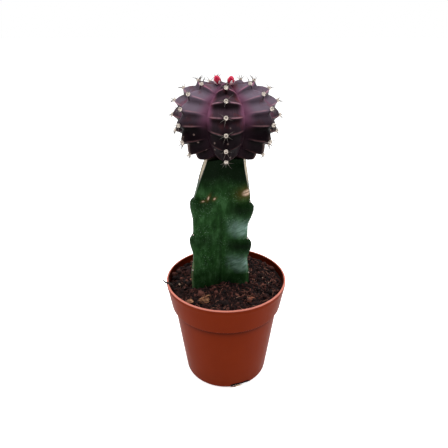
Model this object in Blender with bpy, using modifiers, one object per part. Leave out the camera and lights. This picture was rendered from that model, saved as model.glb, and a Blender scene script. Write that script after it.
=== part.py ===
"""Potted moon cactus: a dark ribbed scion grafted on a three-ribbed rootstock, in a nursery pot.

The frame is metres, +Z up. The origin is the centre of the pot's underside, on the surface
that the pot stands on, and -Y is the front. Every size below is in metres unless it is named
as an angle, a count or a ratio.
"""

import math

import bmesh
import bpy
import numpy as np
from mathutils import Matrix, Vector

MM = 0.001
GAP = 0.35 * MM                     # clearance between pieces that touch

# Pot: a 65 mm nursery pot, thin injection-moulded wall with a stepped collar.
RIM_RADIUS = 32.5 * MM
POT_HEIGHT = 58.9 * MM
LIP_HEIGHT = 2.2 * MM
LIP_THICKNESS = 1.2 * MM
WALL = 0.9 * MM
EDGE_BREAK = 0.3 * MM
COLLAR_BOTTOM_Z = 43.9 * MM
COLLAR_BOTTOM_RADIUS = 30.2 * MM
COLLAR_TOP_RADIUS = 32.1 * MM
BODY_TOP_RADIUS = 28.7 * MM
BODY_BOTTOM_RADIUS = 23.1 * MM
BASE_CORNER = 1.7 * MM
FLOOR = 1.0 * MM
POT_STEPS = 48

# Drain slots: low notches through the corner of wall and floor.
SLOT_COUNT = 3
SLOT_AZIMUTH = math.radians(-70)    # the first slot, just right of the front
SLOT_WIDTH = 11.5 * MM
SLOT_HEIGHT = 3.1 * MM
SLOT_DEPTH = 2.6 * MM

# Potting mix: fills the pot, a little lower at the wall than round the stem.
MIX_WALL_Z = 55.2 * MM
MIX_CROWN_Z = 57.6 * MM
MIX_STEPS = 36
POCKET_SWELL = 0.5 * MM             # the pocket is this much wider than the stem, so that facets clear
POCKET_TOP_Z = 61.0 * MM

# Rootstock: three thick ribs with wavy margins, its ribs trimmed back under the graft.
STOCK_FOOT_Z = 27.0 * MM
SOIL_Z = 57.0 * MM
GRAFT_Z = 127.5 * MM
STOCK_LEAN_X = (-4.1 * MM, 3.5 * MM)    # place at the soil, and how far it comes back by the graft
STOCK_LEAN_Y = (2.5 * MM, -2.5 * MM)
LEFT_RIB = math.radians(210)
STOCK_TURN = math.radians(8)
STOCK_RIBS = 3
RIB_RADIUS = 15.9 * MM
VALLEY_RADIUS = 8.3 * MM
FOOT_TAPER = 0.15                   # share of the rib radius lost down to the foot
RIB_SHARPNESS = 2.5
LOBE_PITCH = 20.6 * MM
LOBE_FADE_Z = (62.0 * MM, 76.0 * MM)    # the lobes die away between these heights
FOOT_SWELL = 1.5 * MM                   # extra rib radius below them
LOBE_HEIGHTS = (1.9 * MM, 2.4 * MM, 2.1 * MM)       # left, right and back rib
LOBE_TOPS = (109.3 * MM, 105.4 * MM, 100.0 * MM)    # highest areole on each rib
CUT_START_Z = 107.5 * MM
CUT_AZIMUTHS = [math.radians(angle) for angle in (188, 353, 98)]    # each knife cut faces this way
CUT_REACH_LOW = (13.9 * MM, 15.4 * MM, 15.4 * MM)       # distance of each cut from the stem's axis
CUT_REACH_HIGH = (9.4 * MM, 9.6 * MM, 9.4 * MM)         # where it starts, and at the graft
STOCK_SIDES = 42
STOCK_ROWS = 32

# Scion: a flattened globe of seven deep ribs, each a row of chins with an areole on its crest.
SCION_Z = 146.0 * MM                # height of the widest place
SCION_RADIUS = 24.9 * MM
CROWN_HEIGHT = 17.2 * MM
UNDER_HEIGHT = 19.9 * MM
CROWN_DIMPLE = 2.6 * MM
DIMPLE_WIDTH = math.radians(24)
CROWN_FULLNESS = 0.94               # exponents below 1 make the side profile squarer
UNDER_FULLNESS = 0.62
SCION_RIBS = 7
FURROW = 0.24                       # depth of a furrow as a share of the radius
CHIN = 0.085                        # height of a chin as a share of the radius
CHIN_FALL = 0.38                    # share of a tier in which the surface falls under an areole
CROWN_FADE = math.radians(35)       # ribs and chins die away this near to the crown
FOOT_FADE = math.radians(40)        # and this near to the underside
TIER = math.radians(21)             # polar angle from one areole to the next on a rib
RIB_PHASES = (0.70, 0.41, 0.37, 0.75, 0.00, 0.35, 0.43)   # how far down each rib its first one is
SCION_COLUMNS = 56
SCION_ROWS = 30

# Areoles: a cushion of wool with a few awl-shaped spines.
FIRST_AREOLE = math.radians(16)
LAST_AREOLE = math.radians(150)
WOOL_RADIUS = 1.05 * MM
WOOL_HEIGHT = 0.75 * MM            # half of its thickness
WOOL_LIFT = 1.15 * MM               # its middle above the skin
SPINE_COUNT = 4
SPINE_LENGTH = 3.8 * MM
SPINE_RADIUS = 0.2 * MM
SPINE_OFFSET = 0.5 * MM             # from the areole's middle to each spine's foot
SPINE_SPREAD = math.radians(38)
SPINE_TURN = math.radians(36)       # so that no spine stands straight over the rib

# Flower buds at the crown: place as polar angle and azimuth, then lean and azimuth of the lean.
BUD_LENGTH = 4.1 * MM
BUD_RADIUS = 1.55 * MM
BUD_LIFT = 0.7 * MM                 # foot above the skin, so that the round bottom clears it
BUDS = {
    "flower_bud_left": [math.radians(angle) for angle in (11, 232, 22, 200)],
    "flower_bud_right": [math.radians(angle) for angle in (11, -71, 14, -30)],
}

# Loose pieces on the mix: bark chips by centre and size, and a twig over the rim by its points.
CHIPS = {
    "bark_chip_left": (Vector((-18.2, -21.8, 57.1)) * MM, Vector((3.6, 2.4, 1.3)) * MM, 0.5),
    "bark_chip_front": (Vector((-11.2, -21.6, 57.5)) * MM, Vector((4.8, 4.0, 1.8)) * MM, -0.3),
    "bark_chip_right": (Vector((12.5, -20.5, 57.4)) * MM, Vector((3.8, 2.2, 1.4)) * MM, 0.8),
}
TWIG_POINTS = ((-27.0, -9.6, 56.4), (-29.4, -9.0, 59.5), (-32.2, -7.8, 59.7), (-34.2, -6.2, 60.4))
TWIG_RADIUS = 0.35 * MM

COLOURS = {
    "pot_plastic": ("#8a3420", 0.42),
    "potting_mix": ("#2c1a17", 0.95),
    "stock_skin": ("#1f4a26", 0.45),
    "scion_skin": ("#3a2a38", 0.5),
    "areole_wool": ("#efe2d6", 0.9),
    "bud_petal": ("#c8183c", 0.4),
    "bark": ("#a4744e", 0.85),
    "twig": ("#2a1c18", 0.8),
}


def linear(hex_colour):
    """The linear RGBA of an sRGB hex colour."""
    channels = [int(hex_colour[i:i + 2], 16) / 255 for i in (1, 3, 5)]
    return [c / 12.92 if c <= 0.04045 else ((c + 0.055) / 1.055) ** 2.4 for c in channels] + [1.0]


def make_material(name):
    """A Principled material with the colour and roughness that COLOURS gives."""
    colour, roughness = COLOURS[name]
    material = bpy.data.materials.new(name)
    material.use_nodes = True
    shader = material.node_tree.nodes["Principled BSDF"]
    shader.inputs["Base Color"].default_value = linear(colour)
    shader.inputs["Roughness"].default_value = roughness
    shader.inputs["Metallic"].default_value = 0.0
    return material


def new_object(name, bm, collection, material=None):
    """An object in the collection that holds the bmesh, shaded smooth."""
    mesh = bpy.data.meshes.new(name)
    bm.to_mesh(mesh)
    bm.free()
    mesh.shade_smooth()
    mesh.set_sharp_from_angle(angle=math.radians(35))
    made = bpy.data.objects.new(name, mesh)
    collection.objects.link(made)
    if material:
        mesh.materials.append(material)
    return made


def hide_cutter(cutter):
    """Shows a cutter as a wire guide only."""
    cutter.hide_render = True
    cutter.display_type = "WIRE"


def add_boolean(target, other, operation):
    """A Boolean modifier with the exact solver."""
    boolean = target.modifiers.new(other.name, "BOOLEAN")
    boolean.operation = operation
    boolean.solver = "EXACT"
    boolean.object = other


def turned(name, profile, steps, collection, material):
    """A closed turned solid: the profile of (radius, z) runs down the outside and ends on the axis."""
    bm = bmesh.new()
    points = [bm.verts.new((radius, 0.0, z)) for radius, z in profile]
    for first, second in zip(points[:-1], points[1:]):
        bm.edges.new((first, second))
    made = new_object(name, bm, collection, material)
    screw = made.modifiers.new("turn", "SCREW")
    screw.steps = steps
    screw.render_steps = steps
    screw.use_merge_vertices = True
    screw.merge_threshold = 0.00001
    return made


def arc(centre, radius, start, end, count):
    """Points of an arc in the (radius, z) plane, its angles in degrees from the outward direction."""
    angles = np.radians(np.linspace(start, end, count))
    return [(centre[0] + radius * math.cos(a), centre[1] + radius * math.sin(a)) for a in angles]


def pot_profile():
    """The pot's section from the middle of its inside floor, up over the lip and down the outside."""
    lip_round = LIP_THICKNESS / 2
    lip_centre = (RIM_RADIUS - lip_round, POT_HEIGHT - lip_round)
    ledge_z = COLLAR_BOTTOM_Z + WALL
    corner_centre = (BODY_BOTTOM_RADIUS - BASE_CORNER, BASE_CORNER)
    inside = [
        (0.0, FLOOR),
        (BODY_BOTTOM_RADIUS - BASE_CORNER - WALL, FLOOR),
        (BODY_BOTTOM_RADIUS - WALL, FLOOR + BASE_CORNER),
        (BODY_TOP_RADIUS - WALL, ledge_z),
        (COLLAR_BOTTOM_RADIUS - WALL, ledge_z),
        (RIM_RADIUS - LIP_THICKNESS, POT_HEIGHT - LIP_HEIGHT),
    ]
    outside = [
        (RIM_RADIUS, POT_HEIGHT - LIP_HEIGHT),
        (COLLAR_TOP_RADIUS, POT_HEIGHT - LIP_HEIGHT - EDGE_BREAK),
        (COLLAR_BOTTOM_RADIUS, COLLAR_BOTTOM_Z + EDGE_BREAK),
        (COLLAR_BOTTOM_RADIUS - EDGE_BREAK, COLLAR_BOTTOM_Z),
        (BODY_TOP_RADIUS, COLLAR_BOTTOM_Z),
    ]
    lip = arc(lip_centre, lip_round, 180, 0, 6)
    corner = arc(corner_centre, BASE_CORNER, 0, -90, 5)
    return inside + lip + outside + corner + [(0.0, 0.0)]


def build_pot(collection, cutters, material):
    """The pot, with its drain slots cut through the corner at the base."""
    pot = turned("pot", pot_profile(), POT_STEPS, collection, material)
    bm = bmesh.new()
    for index in range(SLOT_COUNT):
        azimuth = SLOT_AZIMUTH + index * 2 * math.pi / SLOT_COUNT
        place = Matrix.Rotation(azimuth, 4, "Z") @ Matrix.Translation((BODY_BOTTOM_RADIUS, 0, 0))
        size = Matrix.Diagonal((SLOT_DEPTH, SLOT_WIDTH, 2 * SLOT_HEIGHT, 1))
        bmesh.ops.create_cube(bm, size=1, matrix=place @ size)
    slots = new_object("drain_slot_cutter", bm, cutters)
    hide_cutter(slots)
    add_boolean(pot, slots, "DIFFERENCE")


def mix_profile():
    """The mix's section, a gap inside the pot, from its top down the outside to its floor."""
    inset = WALL + GAP
    ledge_z = COLLAR_BOTTOM_Z + inset
    collar_run = POT_HEIGHT - LIP_HEIGHT - ledge_z
    slope = (RIM_RADIUS - LIP_THICKNESS - COLLAR_BOTTOM_RADIUS + WALL) / collar_run
    wall_radius = COLLAR_BOTTOM_RADIUS - inset + slope * (MIX_WALL_Z - ledge_z)
    crown = MIX_CROWN_Z - MIX_WALL_Z
    top = [(wall_radius * share, MIX_WALL_Z + crown * (1 - share ** 3)) for share in np.linspace(0, 1, 6)]
    return top + [
        (COLLAR_BOTTOM_RADIUS - inset, ledge_z),
        (BODY_TOP_RADIUS - inset, ledge_z),
        (BODY_BOTTOM_RADIUS - inset, FLOOR + BASE_CORNER),
        (BODY_BOTTOM_RADIUS - BASE_CORNER - inset, FLOOR + GAP),
        (0.0, FLOOR + GAP),
    ]


def smooth(value):
    """A ramp from 0 to 1 with level ends."""
    value = np.clip(value, 0.0, 1.0)
    return value * value * (3 - 2 * value)


def lobe(z, top):
    """How far a rib margin stands out: up quickly below each areole, then slowly down to the next."""
    share = np.mod((top - z) / LOBE_PITCH, 1.0)
    return smooth(share / 0.15) * (1 - smooth((share - 0.2) / 0.5))


def stock_section(z, sides, swell=0.0):
    """Points round the rootstock at height z.

    The radius rises from the valleys to the ribs as a power of a cosine with three waves. Above
    the start of the cuts each rib is sliced off along a plane that slopes in to the graft.
    """
    share = max((z - SOIL_Z) / (GRAFT_Z - SOIL_Z), 0.0)
    angles = np.linspace(0, 2 * math.pi, sides, endpoint=False)
    rib_pitch = 2 * math.pi / STOCK_RIBS
    first = LEFT_RIB + STOCK_TURN
    index = np.rint((angles - first) / rib_pitch).astype(int)
    off = angles - first - index * rib_pitch
    lobes = np.zeros(sides)
    for rib, (height, top) in enumerate(zip(LOBE_HEIGHTS, LOBE_TOPS)):
        lobes = np.where(index % STOCK_RIBS == rib, height * lobe(z, top), lobes)
    wave = (0.5 + 0.5 * np.cos(STOCK_RIBS * off)) ** RIB_SHARPNESS
    fade = smooth((z - LOBE_FADE_Z[0]) / (LOBE_FADE_Z[1] - LOBE_FADE_Z[0]))
    foot = 1 - FOOT_TAPER * max(SOIL_Z - z, 0.0) / (SOIL_Z - STOCK_FOOT_Z)
    ribs = RIB_RADIUS * foot + lobes * fade + FOOT_SWELL * (1 - fade)
    radius = VALLEY_RADIUS + (ribs - VALLEY_RADIUS) * wave
    if z > CUT_START_Z:
        for azimuth, low, high in zip(CUT_AZIMUTHS, CUT_REACH_LOW, CUT_REACH_HIGH):
            reach = np.interp(z, (CUT_START_Z, GRAFT_Z), (low, high))
            radius = np.minimum(radius, reach / np.maximum(np.cos(angles - azimuth), 0.3))
    radius = radius + swell
    x = STOCK_LEAN_X[0] + STOCK_LEAN_X[1] * share ** 3 + radius * np.cos(angles)
    y = STOCK_LEAN_Y[0] + STOCK_LEAN_Y[1] * share + radius * np.sin(angles)
    return np.stack([x, y, np.full(sides, z)], axis=1)


def loft(name, sections, collection, material=None):
    """A closed solid through rings of equal point counts, lowest first, capped at both ends."""
    bm = bmesh.new()
    rings = [[bm.verts.new(point) for point in section] for section in sections]
    for lower, upper in zip(rings[:-1], rings[1:]):
        for a in range(len(lower)):
            b = (a + 1) % len(lower)
            bm.faces.new((lower[a], lower[b], upper[b], upper[a]))
    bm.faces.new(list(reversed(rings[0])))
    bm.faces.new(rings[-1])
    return new_object(name, bm, collection, material)


def build_rootstock(collection, cutters, stock_material, mix):
    """The rootstock with its foot buried in the mix, and the pocket that it fills."""
    heights = np.linspace(STOCK_FOOT_Z, GRAFT_Z, STOCK_ROWS)
    loft("rootstock", [stock_section(z, STOCK_SIDES) for z in heights], collection, stock_material)
    pocket_heights = np.linspace(STOCK_FOOT_Z - GAP, POCKET_TOP_Z, 10)
    pocket_sections = [stock_section(z, STOCK_SIDES, POCKET_SWELL) for z in pocket_heights]
    pocket = loft("stem_pocket_cutter", pocket_sections, cutters)
    hide_cutter(pocket)
    add_boolean(mix, pocket, "DIFFERENCE")


def scion_point(polar, azimuth):
    """The scion's surface at a polar angle from the crown and an azimuth, as an (x, y, z) array.

    A globe of two half heights is scaled along each radius: less towards the furrows, and up and
    down along each rib, where the surface rises to every areole and falls quickly below it.
    """
    place = (azimuth + math.pi / 2) / (2 * math.pi / SCION_RIBS)
    rib = np.rint(place).astype(int)
    across = np.abs(place - rib) * 2
    phase = np.array(RIB_PHASES)[rib % SCION_RIBS]
    step = np.mod(polar / TIER - phase, 1.0)
    fall = 1 - smooth(step / CHIN_FALL)
    rise = np.clip((step - CHIN_FALL) / (1 - CHIN_FALL), 0, 1) ** 1.2
    chin = np.where(step < CHIN_FALL, fall, rise) - 0.5
    ends = smooth(polar / CROWN_FADE) * smooth((math.pi - polar) / FOOT_FADE)
    scale = 1 - FURROW * ends * across ** 1.5 + CHIN * ends * (1 - across) ** 0.6 * chin
    up = np.cos(polar) > 0
    height = np.where(up, CROWN_HEIGHT, UNDER_HEIGHT)
    fullness = np.where(up, CROWN_FULLNESS, UNDER_FULLNESS)
    flat = SCION_RADIUS * scale * np.abs(np.sin(polar)) ** fullness
    dimple = CROWN_DIMPLE * np.exp(-(polar / DIMPLE_WIDTH) ** 2)
    z = SCION_Z + height * scale * np.cos(polar) - dimple
    return np.stack([flat * np.cos(azimuth), flat * np.sin(azimuth), z], axis=-1)


def build_scion(collection, material):
    """The scion: a sphere drawn out to the ribbed form, with its underside cut flat at the graft."""
    bm = bmesh.new()
    bmesh.ops.create_uvsphere(bm, u_segments=SCION_COLUMNS, v_segments=SCION_ROWS, radius=1)
    unit = np.array([vert.co for vert in bm.verts])
    polar = np.arccos(np.clip(unit[:, 2], -1, 1))
    azimuth = np.arctan2(unit[:, 1], unit[:, 0]) - math.pi / 2
    for vert, point in zip(bm.verts, scion_point(polar, azimuth)):
        vert.co = point
    everything = list(bm.verts) + list(bm.edges) + list(bm.faces)
    cut = bmesh.ops.bisect_plane(
        bm, geom=everything, plane_co=(0, 0, GRAFT_Z + GAP), plane_no=(0, 0, -1), clear_outer=True
    )
    rim = [piece for piece in cut["geom_cut"] if isinstance(piece, bmesh.types.BMEdge)]
    bmesh.ops.holes_fill(bm, edges=rim)
    bmesh.ops.recalc_face_normals(bm, faces=bm.faces)
    return new_object("scion", bm, collection, material)


def surface_frame(polar, azimuth):
    """The point, the outward normal and the direction towards the crown on the scion's base form."""
    step = 0.02
    point = scion_point(np.array([polar]), np.array([azimuth]))[0]
    above = scion_point(np.array([polar - step]), np.array([azimuth]))[0]
    below = scion_point(np.array([polar + step]), np.array([azimuth]))[0]
    upward = Vector(above - below).normalized()
    sideways = Vector((-math.sin(azimuth), math.cos(azimuth), 0))
    outward = sideways.cross(upward).normalized()
    if outward.dot(Vector(point) - Vector((0, 0, SCION_Z))) < 0:
        outward = -outward
    return Vector(point), outward, upward


def areole_places():
    """The node name, polar angle and azimuth of every areole, rib by rib from the crown down."""
    for rib, phase in enumerate(RIB_PHASES):
        azimuth = -math.pi / 2 + rib * 2 * math.pi / SCION_RIBS
        tier = 0
        for order in range(9):
            polar = (order + phase) * TIER
            if FIRST_AREOLE < polar < LAST_AREOLE:
                tier += 1
                yield f"spine_cluster_r{rib + 1}_{tier}", polar, azimuth


def build_spine_cluster(name, polar, azimuth, collection, cutters, material):
    """One areole: a flattened cushion of wool with its spines fanned out sideways and down."""
    point, outward, upward = surface_frame(polar, azimuth)
    sideways = outward.cross(upward).normalized()
    turn = Matrix((sideways, upward, outward)).transposed().to_4x4()
    centre = point + outward * WOOL_LIFT
    place = Matrix.Translation(centre) @ turn
    bm = bmesh.new()
    size = Matrix.Diagonal((WOOL_RADIUS, WOOL_RADIUS, WOOL_HEIGHT, 1))
    bmesh.ops.create_uvsphere(bm, u_segments=7, v_segments=4, radius=1, matrix=place @ size)
    cushion = new_object(name, bm, collection, material)
    crowding = min(1.0, 0.45 + polar / math.radians(90))
    length = SPINE_LENGTH * crowding
    spines = bmesh.new()
    for index in range(SPINE_COUNT):
        around = Matrix.Rotation(SPINE_TURN + 2 * math.pi * index / SPINE_COUNT, 4, "Z")
        foot = Matrix.Translation((0, -SPINE_OFFSET, 0))
        lean = Matrix.Rotation(SPINE_SPREAD * crowding, 4, "X")
        middle = Matrix.Translation((0, 0, length / 2 - SPINE_OFFSET / 2))
        bmesh.ops.create_cone(
            spines, cap_ends=True, segments=4, radius1=SPINE_RADIUS, radius2=SPINE_RADIUS * 0.2,
            depth=length, matrix=place @ around @ foot @ lean @ middle,
        )
    fan = new_object(f"{name}_spines", spines, cutters)
    hide_cutter(fan)
    add_boolean(cushion, fan, "UNION")


def build_bud(name, polar, azimuth, lean, lean_azimuth, collection, material):
    """A closed flower bud: an egg that tapers to a blunt tip, standing on the crown."""
    skin, outward, _ = surface_frame(polar, azimuth)
    bm = bmesh.new()
    bmesh.ops.create_uvsphere(bm, u_segments=12, v_segments=9, radius=1)
    for vert in bm.verts:
        share = (vert.co.z + 1) / 2
        girth = 1 - 0.35 * share ** 2
        vert.co = Vector((vert.co.x * girth * BUD_RADIUS, vert.co.y * girth * BUD_RADIUS, share * BUD_LENGTH))
    tilt = Matrix.Rotation(lean_azimuth, 4, "Z") @ Matrix.Rotation(lean, 4, "Y")
    bm.transform(Matrix.Translation(skin + outward * BUD_LIFT) @ tilt)
    new_object(name, bm, collection, material)


def build_chip(name, centre, size, turn, collection, material):
    """A bark chip: a box with its edges broken."""
    bm = bmesh.new()
    bmesh.ops.create_cube(bm, size=1, matrix=Matrix.Diagonal((*size, 1)))
    chip = new_object(name, bm, collection, material)
    chip.location = centre
    chip.rotation_euler = (0.12, -0.1, turn)
    bevel = chip.modifiers.new("broken_edges", "BEVEL")
    bevel.width = 0.35 * MM
    bevel.segments = 1


def build_twig(collection, material):
    """The thin twig that lies over the rim: a round wire through its points."""
    curve = bpy.data.curves.new("twig", "CURVE")
    curve.dimensions = "3D"
    curve.bevel_depth = TWIG_RADIUS
    curve.bevel_resolution = 1
    curve.use_fill_caps = True
    spline = curve.splines.new("POLY")
    spline.points.add(len(TWIG_POINTS) - 1)
    for point, place in zip(spline.points, TWIG_POINTS):
        point.co = (*(Vector(place) * MM), 1)
    curve.materials.append(material)
    twig = bpy.data.objects.new("twig", curve)
    collection.objects.link(twig)


for old in list(bpy.data.objects):
    bpy.data.objects.remove(old, do_unlink=True)
cactus = bpy.data.collections.new("potted_moon_cactus")
tools = bpy.data.collections.new("cutters")
bpy.context.scene.collection.children.link(cactus)
bpy.context.scene.collection.children.link(tools)
materials = {name: make_material(name) for name in COLOURS}

build_pot(cactus, tools, materials["pot_plastic"])
mix = turned("potting_mix", mix_profile(), MIX_STEPS, cactus, materials["potting_mix"])
build_rootstock(cactus, tools, materials["stock_skin"], mix)
build_scion(cactus, materials["scion_skin"])
for name, polar, azimuth in areole_places():
    build_spine_cluster(name, polar, azimuth, cactus, tools, materials["areole_wool"])
for name, angles in BUDS.items():
    build_bud(name, *angles, cactus, materials["bud_petal"])
for name, (centre, size, turn) in CHIPS.items():
    build_chip(name, centre, size, turn, cactus, materials["bark"])
build_twig(cactus, materials["twig"])
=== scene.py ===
# Potted moon cactus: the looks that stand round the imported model. Metres, +Z up, the front is -Y.
import math

import bpy
import numpy as np
from mathutils import Matrix, Vector


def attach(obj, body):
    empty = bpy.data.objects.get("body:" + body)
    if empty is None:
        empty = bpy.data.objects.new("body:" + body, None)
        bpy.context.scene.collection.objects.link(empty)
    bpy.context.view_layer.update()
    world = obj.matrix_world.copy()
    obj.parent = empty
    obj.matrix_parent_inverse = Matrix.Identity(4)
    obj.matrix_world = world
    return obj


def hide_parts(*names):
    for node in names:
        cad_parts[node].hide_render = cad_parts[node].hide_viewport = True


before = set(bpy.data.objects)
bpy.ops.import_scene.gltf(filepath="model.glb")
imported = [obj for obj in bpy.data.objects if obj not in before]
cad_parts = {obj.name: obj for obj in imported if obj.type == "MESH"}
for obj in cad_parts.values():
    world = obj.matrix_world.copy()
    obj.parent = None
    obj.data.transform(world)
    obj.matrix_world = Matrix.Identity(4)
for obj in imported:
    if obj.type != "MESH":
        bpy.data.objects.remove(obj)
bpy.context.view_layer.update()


# ----------------------------------------------------------
# Studio. A softly glowing white floor that runs to the horizon, a white wall of sky behind the
# plant that dims towards the camera, one broad soft lamp over the plant and one at each side.
# Nothing here is part of the object.
# ----------------------------------------------------------
def linear(hex_colour):
    """The linear RGBA of an sRGB hex colour."""
    channels = [int(hex_colour[i:i + 2], 16) / 255 for i in (1, 3, 5)]
    return [c / 12.92 if c <= 0.04045 else ((c + 0.055) / 1.055) ** 2.4 for c in channels] + [1.0]


def feed(node, inputs):
    """Sets a node's inputs to values, or links them from sockets or from other nodes' results."""
    for name, value in inputs.items():
        if isinstance(value, bpy.types.Node):
            value = next(result for result in value.outputs if result.enabled)
        if isinstance(value, bpy.types.NodeSocket):
            node.id_data.links.new(value, node.inputs[name])
        else:
            node.inputs[name].default_value = value


def add_node(tree, kind, inputs=None, **settings):
    """Adds a shader node of a kind, with its properties set and its inputs fed."""
    node = tree.nodes.new("ShaderNode" + kind)
    for name, value in settings.items():
        setattr(node, name, value)
    feed(node, inputs or {})
    return node


def begin_material(name):
    """A new material with its node tree and its shader."""
    material = bpy.data.materials.new(name)
    material.use_nodes = True
    return material, material.node_tree, material.node_tree.nodes["Principled BSDF"]


FLOOR_HALF = 6.0
floor_mesh = bpy.data.meshes.new("studio_floor")
floor_mesh.from_pydata(
    [(x * FLOOR_HALF, y * FLOOR_HALF, 0.0) for x, y in ((-1, -1), (1, -1), (1, 1), (-1, 1))],
    [], [(0, 1, 2, 3)],
)
studio_floor = bpy.data.objects.new("studio_floor", floor_mesh)
bpy.context.scene.collection.objects.link(studio_floor)
floor_paper, tree, shader = begin_material("white_paper")
feed(shader, {
    "Base Color": linear("#fdfdfd"), "Roughness": 0.9, "Specular IOR Level": 0.0,
    "Emission Color": (1, 1, 1, 1), "Emission Strength": 0.75})
floor_mesh.materials.append(floor_paper)

sky = bpy.data.worlds.new("overcast_sky")
bpy.context.scene.world = sky
sky.use_nodes = True
tree = sky.node_tree
tree.nodes.clear()
sky_direction = add_node(tree, "TexCoord").outputs["Generated"]
sky_depth = add_node(tree, "SeparateXYZ", {0: sky_direction}).outputs["Y"]
sky_ramp = add_node(tree, "MapRange", {
    "Value": sky_depth, "From Min": -0.6, "From Max": 0.8, "To Min": 0.1, "To Max": 0.7,
}, interpolation_type="SMOOTHSTEP")
soft_sky = add_node(tree, "Background", {"Color": (1, 1, 1, 1), "Strength": sky_ramp})
white_sky = add_node(tree, "Background", {"Color": (1, 1, 1, 1), "Strength": 1.0})
seen = add_node(tree, "LightPath").outputs["Is Camera Ray"]
sky_mix = add_node(tree, "MixShader", {0: seen, 1: soft_sky, 2: white_sky})
add_node(tree, "OutputWorld", {"Surface": sky_mix})

PLANT_MIDDLE = Vector((0, 0, 0.11))


def add_lamp(name, place, side, watts):
    """A square soft lamp that faces the middle of the plant."""
    light = bpy.data.lights.new(name, "AREA")
    light.size = side
    light.energy = watts
    lamp = bpy.data.objects.new(name, light)
    lamp.location = place
    lamp.rotation_euler = (PLANT_MIDDLE - Vector(place)).to_track_quat("-Z", "Y").to_euler()
    bpy.context.scene.collection.objects.link(lamp)


add_lamp("top_lamp", (0.0, 0.05, 1.0), 0.7, 6.0)
add_lamp("left_lamp", (-0.6, 0.0, 0.5), 0.45, 1.9)
add_lamp("right_lamp", (0.6, 0.0, 0.5), 0.45, 2.1)

camera_data = bpy.data.cameras.new("camera")
camera_data.lens = 34.55
camera_data.sensor_width = 36.0
camera_data.shift_x = -0.0046
camera_data.clip_start = 0.01
camera = bpy.data.objects.new("camera", camera_data)
camera.location = (0.0, -0.2025, 0.1849)
camera.rotation_euler = (math.radians(64.99), 0, 0)
bpy.context.scene.collection.objects.link(camera)
bpy.context.scene.camera = camera
bpy.context.scene.view_settings.view_transform = "Standard"


# ----------------------------------------------------------
# Pot. A 65 mm nursery pot, injection-moulded in one shot of terracotta-brown polypropylene:
# a thin tapered wall, a stepped collar for gripping and stacking, a rounded lip, and three
# drain slots where wall and floor meet. It stands on its own flat underside.
# ----------------------------------------------------------
MM = 0.001
RIM_RADIUS = 32.5 * MM
POT_HEIGHT = 58.9 * MM
LIP_HEIGHT = 2.2 * MM
LIP_THICKNESS = 1.2 * MM
WALL = 0.9 * MM
COLLAR_BOTTOM_Z = 43.9 * MM
COLLAR_BOTTOM_RADIUS = 30.2 * MM
COLLAR_TOP_RADIUS = 32.1 * MM
BODY_TOP_RADIUS = 28.7 * MM
BODY_BOTTOM_RADIUS = 23.1 * MM
BASE_CORNER = 1.7 * MM
POT_FLOOR = 1.0 * MM
SLOTS = 3
SLOT_AZIMUTH = math.radians(-70)
SLOT_HALF_WIDTH, SLOT_HALF_HEIGHT, SLOT_HALF_DEPTH = 5.75 * MM, 3.1 * MM, 1.3 * MM


def smooth(value):
    """A ramp from 0 to 1 with level ends."""
    value = np.clip(value, 0.0, 1.0)
    return value * value * (3 - 2 * value)


def signed_power(value, power):
    """A power of each value's size, with its sign kept: it squares off a circle's cosine and sine."""
    return np.sign(value) * np.abs(value) ** power


def round_turn(count):
    """Angles of count even steps round one turn."""
    return np.linspace(0, 2 * math.pi, count, endpoint=False)


def round_axis(radius, angle, z):
    """Points at a radius and an angle round the Z axis, at a height."""
    return np.stack(np.broadcast_arrays(radius * np.cos(angle), radius * np.sin(angle), z), axis=-1)


def value_noise(points, pitch, seed):
    """Noise from -1 to 1: random values on a cubic lattice, joined by smooth ramps along each axis."""
    cells = np.asarray(points) / pitch
    low = np.floor(cells).astype(int)
    ramp = smooth(cells - low)
    table = np.random.default_rng(seed).uniform(-1, 1, (32, 32, 32))
    total = np.zeros(cells.shape[:-1])
    for corner in np.ndindex(2, 2, 2):
        place = (low + corner) % 32
        weight = np.where(np.array(corner) == 1, ramp, 1 - ramp).prod(axis=-1)
        total += weight * table[place[..., 0], place[..., 1], place[..., 2]]
    return total


def rounded_profile(corners, spacing):
    """A profile through corners of (radius, z, rounding).

    Each corner becomes an arc that touches both of its sides, drawn as a quadratic blend, and the
    whole is then cut into steps no longer than the spacing.
    """
    corners = np.array(corners, float)
    path = [corners[0, :2]]
    for before, here, after in zip(corners[:-2], corners[1:-1], corners[2:]):
        arrive, leave = before[:2] - here[:2], after[:2] - here[:2]
        start = here[:2] + arrive / np.linalg.norm(arrive) * here[2]
        end = here[:2] + leave / np.linalg.norm(leave) * here[2]
        share = np.linspace(0, 1, 7)[:, None]
        path.extend((1 - share) ** 2 * start + 2 * share * (1 - share) * here[:2] + share ** 2 * end)
    path.append(corners[-1, :2])
    path = np.array(path)
    runs = np.linalg.norm(np.diff(path, axis=0), axis=1)
    pieces = np.maximum(np.ceil(runs / spacing).astype(int), 1)
    steps = [a + (b - a) * np.linspace(0, 1, n, endpoint=False)[:, None]
             for a, b, n in zip(path[:-1], path[1:], pieces)]
    return np.vstack(steps + [path[-1:]])


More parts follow.
